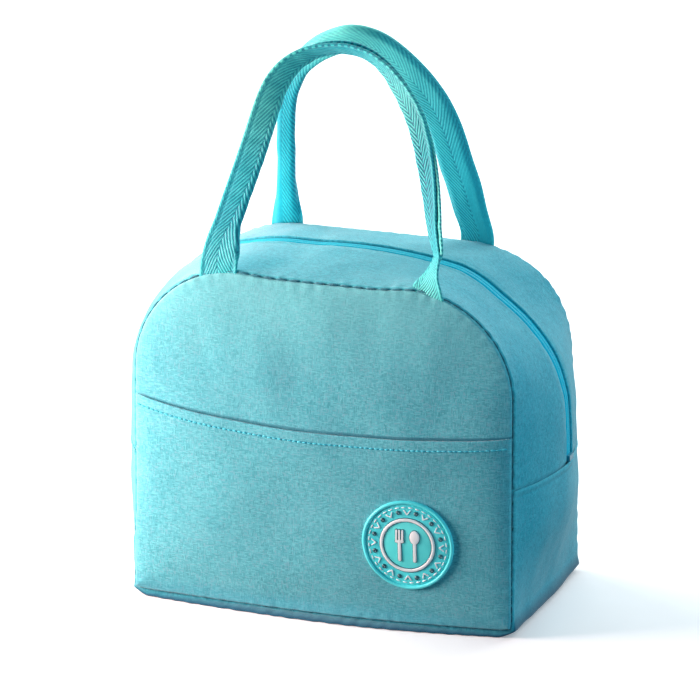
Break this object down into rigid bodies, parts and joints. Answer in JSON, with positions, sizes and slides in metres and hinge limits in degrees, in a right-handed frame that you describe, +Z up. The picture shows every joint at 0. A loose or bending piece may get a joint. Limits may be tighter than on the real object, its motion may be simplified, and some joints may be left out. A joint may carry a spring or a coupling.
{
  "type": "insulated lunch bag",
  "caption": "Soft insulated lunch bag with an arched front, slip pocket, zip over the top, two webbing handles and a round rubber badge.",
  "frame": {"origin": "centre of the base on the surface that the bag stands on", "axes": "+Z up, +X to the right seen from the front, the front pocket and badge face -Y"},
  "size_m": [0.2536, 0.1467, 0.3226],
  "materials": {
    "fabric": "heathered woven polyester with a polyurethane backing",
    "fabric_side": "heathered woven polyester, a shade darker",
    "foam": "closed-cell polyethylene foam",
    "lining": "silvery wipe-clean film",
    "binding": "folded polyester seam tape",
    "webbing": "herringbone polyester webbing",
    "zip_tape": "woven zip tape",
    "zip_coil": "nylon coil",
    "zip_metal": "plated zinc",
    "badge": "soft moulded rubber",
    "badge_light": "soft moulded rubber",
    "badge_dark": "soft moulded rubber",
    "thread": "polyester sewing thread"
  },
  "bodies": {
    "tub": {"front_panel_lower": "fabric", "back_panel_lower": "fabric", "front_foam_lower": "foam", "back_foam_lower": "foam", "front_lining_lower": "lining", "back_lining_lower": "lining", "side_base_band": "fabric_side", "side_base_foam": "foam", "side_base_lining": "lining", "zip_gusset_front_lower": "fabric", "zip_gusset_back_lower": "fabric", "gusset_foam_lower": "foam", "gusset_lining_lower": "lining", "zip_tape_lower": "zip_tape", "zip_coil_lower": "zip_coil", "zip_end_stops": "zip_coil", "front_pocket": "fabric", "pocket_hem": "fabric", "pocket_topstitch": "thread", "seam_binding_lower": "binding", "badge_base": "badge", "badge_ring": "badge_light", "badge_cutlery": "badge_light", "badge_dots": "badge_dark", "badge_stitches": "thread"},
    "front_flap": {"front_panel_upper": "fabric", "front_foam_upper": "foam", "front_lining_upper": "lining", "zip_gusset_front_upper": "fabric", "gusset_foam_front_upper": "foam", "gusset_lining_front_upper": "lining", "zip_tape_front_upper": "zip_tape", "zip_coil_front_upper": "zip_coil", "seam_binding_front_upper": "binding", "handle_front_tabs": "webbing"},
    "back_flap": {"back_panel_upper": "fabric", "back_foam_upper": "foam", "back_lining_upper": "lining", "zip_gusset_back_upper": "fabric", "gusset_foam_back_upper": "foam", "gusset_lining_back_upper": "lining", "zip_tape_back_upper": "zip_tape", "zip_coil_back_upper": "zip_coil", "seam_binding_back_upper": "binding", "handle_back_tabs": "webbing"},
    "front_handle": {"handle_front": "webbing"},
    "back_handle": {"handle_back": "webbing"},
    "slider": {"zip_slider": "zip_metal"},
    "pull": {"zip_pull": "zip_metal"}
  },
  "joints": [
    {"name": "mouth_front", "type": "hinge", "parent": "tub", "child": "front_flap", "pos_m": [0, -0.0683, 0.1215], "axis": [1, 0, 0], "range_deg": [0, 25]},
    {"name": "mouth_back", "type": "hinge", "parent": "tub", "child": "back_flap", "pos_m": [0, 0.0683, 0.1215], "axis": [-1, 0, 0], "range_deg": [0, 25]},
    {"name": "handle_front_swing", "type": "hinge", "parent": "front_flap", "child": "front_handle", "pos_m": [0, -0.0605, 0.198], "axis": [1, 0, 0], "range_deg": [0, 150]},
    {"name": "handle_back_swing", "type": "hinge", "parent": "back_flap", "child": "back_handle", "pos_m": [0, 0.0475, 0.194], "axis": [-1, 0, 0], "range_deg": [0, 150]},
    {"name": "zip_slide", "type": "slide", "parent": "tub", "child": "slider", "axis": [0, 0, 1], "range_m": [0, 0.018]},
    {"name": "pull_swing", "type": "hinge", "parent": "slider", "child": "pull", "pos_m": [-0.127, 0, 0.093], "axis": [0, 1, 0], "range_deg": [0, 130]}
  ]
}
